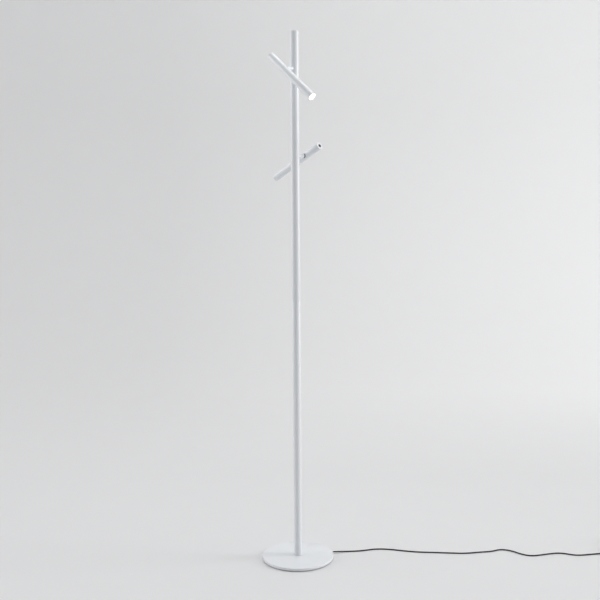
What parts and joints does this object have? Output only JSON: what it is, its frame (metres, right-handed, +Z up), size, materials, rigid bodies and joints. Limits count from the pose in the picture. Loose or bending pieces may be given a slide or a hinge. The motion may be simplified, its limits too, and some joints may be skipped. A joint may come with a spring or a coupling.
{
  "type": "pole floor lamp",
  "caption": "Slim white pole floor lamp on a round disc base, with stick-shaped spots that tilt on short side arms, push buttons in their ends and a cord to a plug-in driver.",
  "frame": {"origin": "middle of the underside of the base pad, on the axis of the pole, at floor level", "axes": "+Z up along the pole; +X to the right of someone who looks along +Y at the lamp; the cord leaves the base towards +X"},
  "size_m": [1.196, 0.2551, 1.6],
  "materials": {
    "white_steel": "satin",
    "white_aluminium": "satin",
    "steel": "satin",
    "brass": "satin",
    "nickel": "polished",
    "bare_aluminium": "satin",
    "black_plastic": "matte",
    "white_plastic": "matte",
    "black_cord": "satin",
    "pad_rubber": "matte",
    "circuit_board": "satin",
    "reflector_plastic": "gloss",
    "opal_plastic": "satin"
  },
  "bodies": {
    "stand": {"base_plate": "white_steel", "base_pad": "pad_rubber", "pole_foot": "bare_aluminium", "foot_screws": "steel", "cord_grommet": "white_plastic", "cord_clamp": "steel", "clamp_screws": "steel", "cord_inner": "black_cord", "lower_pole": "white_steel", "upper_pole": "white_steel", "pole_joiner": "bare_aluminium", "pole_cap": "white_aluminium", "junction_block": "white_plastic", "upper_feed": "black_cord", "lower_feed": "black_cord", "upper_arm": "white_aluminium", "upper_arm_nut": "steel", "upper_pivot_bolt": "steel", "upper_spring_washer": "steel", "lower_arm": "white_aluminium", "lower_arm_nut": "steel", "lower_pivot_bolt": "steel", "lower_spring_washer": "steel", "cord_free": "black_cord", "cord_coil": "black_cord", "coil_tie": "black_plastic", "cord_tail": "black_cord", "driver_relief": "black_plastic", "driver_case": "black_plastic", "driver_lid": "black_plastic", "driver_board": "circuit_board", "plug_pins": "nickel"},
    "upper_spot": {"upper_inner_bush": "brass", "upper_collar": "black_plastic", "upper_head_tube": "white_aluminium", "upper_rear_cap": "white_aluminium", "upper_switch": "black_plastic", "upper_dimmer_board": "circuit_board", "upper_heat_sink": "bare_aluminium", "upper_led_board": "circuit_board", "upper_reflector": "reflector_plastic", "upper_diffuser": "opal_plastic", "upper_head_wires": "black_cord"},
    "upper_push": {"upper_button": "black_plastic"},
    "lower_spot": {"lower_inner_bush": "brass", "lower_collar": "black_plastic", "lower_head_tube": "white_aluminium", "lower_rear_cap": "white_aluminium", "lower_switch": "black_plastic", "lower_dimmer_board": "circuit_board", "lower_heat_sink": "bare_aluminium", "lower_led_board": "circuit_board", "lower_reflector": "reflector_plastic", "lower_diffuser": "opal_plastic", "lower_head_wires": "black_cord"},
    "lower_push": {"lower_button": "black_plastic"}
  },
  "joints": [
    {"name": "upper_spot_tilt", "type": "hinge", "parent": "stand", "child": "upper_spot", "pos_m": [-0.0328, -0.03774, 1.492], "axis": [-0.6561, -0.7547, 0], "range_deg": [-170, 170]},
    {"name": "upper_button_press", "type": "slide", "parent": "upper_spot", "child": "upper_push", "axis": [0.5906, -0.5134, -0.6225], "range_m": [0, 0.0012], "stiffness_N_per_m": 500, "springref_m": -0.002},
    {"name": "lower_spot_tilt", "type": "hinge", "parent": "stand", "child": "lower_spot", "pos_m": [0.0328, 0.03774, 1.242], "axis": [0.6561, 0.7547, 0], "range_deg": [-170, 170]},
    {"name": "lower_button_press", "type": "slide", "parent": "lower_spot", "child": "lower_push", "axis": [-0.6651, 0.5782, -0.4726], "range_m": [0, 0.0012], "stiffness_N_per_m": 500, "springref_m": -0.002}
  ]
}
